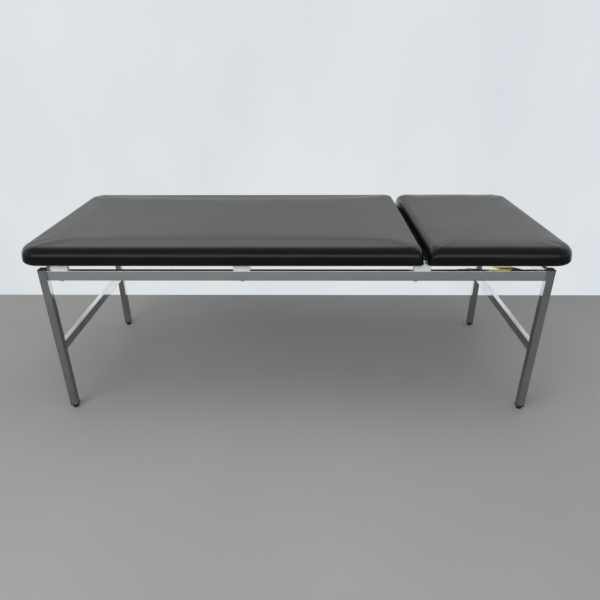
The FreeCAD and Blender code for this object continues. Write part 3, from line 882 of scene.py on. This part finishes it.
# Painted reflection of the backdrop by height: pale, with a painted shade band just above the table top.
painted_wall_reflection_stops = ((0.20, (0.90, 0.94, 0.97)), (0.245, (0.56, 0.57, 0.58)),
                       (0.335, (0.98, 0.98, 0.97)), (0.5, (1.0, 1.0, 1.0)))
soft_colour = (0.80, 0.81, 0.83, 1.0)
soft_strength = 0.65
seen_colour = (0.72, 0.755, 0.785, 1.0)
# Painted reflection: a sky of its own that glossy rays see, darker overhead and dimmer towards the front.
mirrored_sky_stops = ((0.0, (0.74, 0.76, 0.78)), (0.25, (0.66, 0.69, 0.72)),
                      (0.6, (0.52, 0.54, 0.57)), (1.0, (0.46, 0.47, 0.49)))
mirrored_strength = 0.76
front_dim = 0.36
# Lamps: place, width, height, power, colour, and whether they show in reflections
lamps = {
    "key": ((-1.9, -2.6, 2.7), 2.2, 1.2, 34.0, (1.0, 0.98, 0.95), False),
    "front": ((-0.2, -3.4, 2.05), 6.5, 1.3, 44.0, (0.76, 0.89, 1.0), True),
    "above": ((0.3, -0.4, 3.2), 3.0, 1.2, 22.0, (1.0, 1.0, 1.0), False),
}
lamp_target = Vector((0.0, 0.0, 0.55))


def floor_material():
    """Plain grey; in reflections it shows at half its brightness, a painted reflection that makes polished
    metal darker.
    """
    material, tree, shader = new_material("pale_floor")
    cloud = noise_value(tree, scale=0.9, detail=4.0)
    path = tree.nodes.new("ShaderNodeLightPath")
    strength = remap(tree, path.outputs["Is Glossy Ray"], 1.0, painted_floor_reflection_share, from_low=0.0, from_high=1.0)
    colour = scaled(tree, colour_ramp(tree, cloud, floor_stops), strength)
    tree.links.new(colour, shader.inputs["Base Color"])
    shader.inputs["Roughness"].default_value = floor_roughness
    return material


def wall_material():
    """White to the eye on the side that faces the table; in reflections a painted reflection, paler than it
    looks, with a painted shade band just above the table top; its back is clear.
    """
    material, tree, shader = new_material("white_backdrop")
    shader.inputs["Base Color"].default_value = wall_colour
    shader.inputs["Roughness"].default_value = wall_roughness
    cloud = noise_value(tree, scale=1.4, stretch=(1, 1, 0.6))
    seen = tree.nodes.new("ShaderNodeEmission")
    tree.links.new(colour_ramp(tree, cloud, seen_wall_stops), seen.inputs["Color"])
    split = tree.nodes.new("ShaderNodeSeparateXYZ")
    tree.links.new(place_vector(tree), split.inputs["Vector"])
    height = remap(tree, split.outputs["Z"], 0.0, 1.0, from_low=0.0, from_high=wall_height)
    mirrored = tree.nodes.new("ShaderNodeEmission")
    tree.links.new(colour_ramp(tree, height, painted_wall_reflection_stops), mirrored.inputs["Color"])
    face = by_ray(tree, shader.outputs["BSDF"], mirrored.outputs["Emission"], seen.outputs["Emission"])
    side = tree.nodes.new("ShaderNodeNewGeometry")
    clear = tree.nodes.new("ShaderNodeBsdfTransparent")
    blend = tree.nodes.new("ShaderNodeMixShader")
    tree.links.new(side.outputs["Backfacing"], blend.inputs["Fac"])
    tree.links.new(face, blend.inputs[1])
    tree.links.new(clear.outputs["BSDF"], blend.inputs[2])
    tree.links.new(blend.outputs["Shader"], tree.nodes["Material Output"].inputs["Surface"])
    return material


def build_world():
    """Even soft light, a pale seen background, and a mirrored one that is dimmer towards the front."""
    world = bpy.data.worlds.new("studio")
    bpy.context.scene.world = world
    world.use_nodes = True
    tree = world.node_tree
    soft = tree.nodes["Background"]
    soft.inputs["Color"].default_value = soft_colour
    soft.inputs["Strength"].default_value = soft_strength
    seen = tree.nodes.new("ShaderNodeBackground")
    seen.inputs["Color"].default_value = seen_colour
    mirrored = tree.nodes.new("ShaderNodeBackground")
    mirrored.inputs["Strength"].default_value = mirrored_strength
    coordinates = tree.nodes.new("ShaderNodeTexCoord")
    split = tree.nodes.new("ShaderNodeSeparateXYZ")
    tree.links.new(coordinates.outputs["Generated"], split.inputs["Vector"])
    sky = colour_ramp(tree, split.outputs["Z"], mirrored_sky_stops)
    dim = remap(tree, split.outputs["Y"], front_dim, 1.0, from_low=-1.0, from_high=0.3)
    tree.links.new(scaled(tree, sky, dim), mirrored.inputs["Color"])
    light = by_ray(tree, soft.outputs["Background"], mirrored.outputs["Background"],
                   seen.outputs["Background"])
    tree.links.new(light, tree.nodes["World Output"].inputs["Surface"])


def build_lamps():
    for name, (place, width, height, power, colour, mirrored) in lamps.items():
        data = bpy.data.lights.new(name, "AREA")
        data.shape = "RECTANGLE"
        data.size = width
        data.size_y = height
        data.energy = power
        data.color = colour
        light = link(bpy.data.objects.new(name, data))
        light.location = place
        light.visible_glossy = mirrored
        light.rotation_mode = "QUATERNION"
        light.rotation_quaternion = (lamp_target - Vector(place)).to_track_quat("-Z", "Y")


def build_studio():
    floor = add_mesh("floor", [(-floor_half, -floor_half, 0), (floor_half, -floor_half, 0),
                               (floor_half, floor_half, 0), (-floor_half, floor_half, 0)], [(0, 1, 2, 3)])
    floor.data.materials.append(floor_material())
    wall = add_mesh("backdrop", [(-wall_half, wall_y, 0), (wall_half, wall_y, 0),
                                 (wall_half, wall_y, wall_height), (-wall_half, wall_y, wall_height)],
                    [(0, 1, 2, 3)])
    wall.data.materials.append(wall_material())
    build_world()
    build_lamps()
    bpy.context.scene.view_settings.view_transform = "Standard"


make_camera()
finish_nodes()
build_cushions()
build_linings()
build_staples()
build_welds()
build_studio()
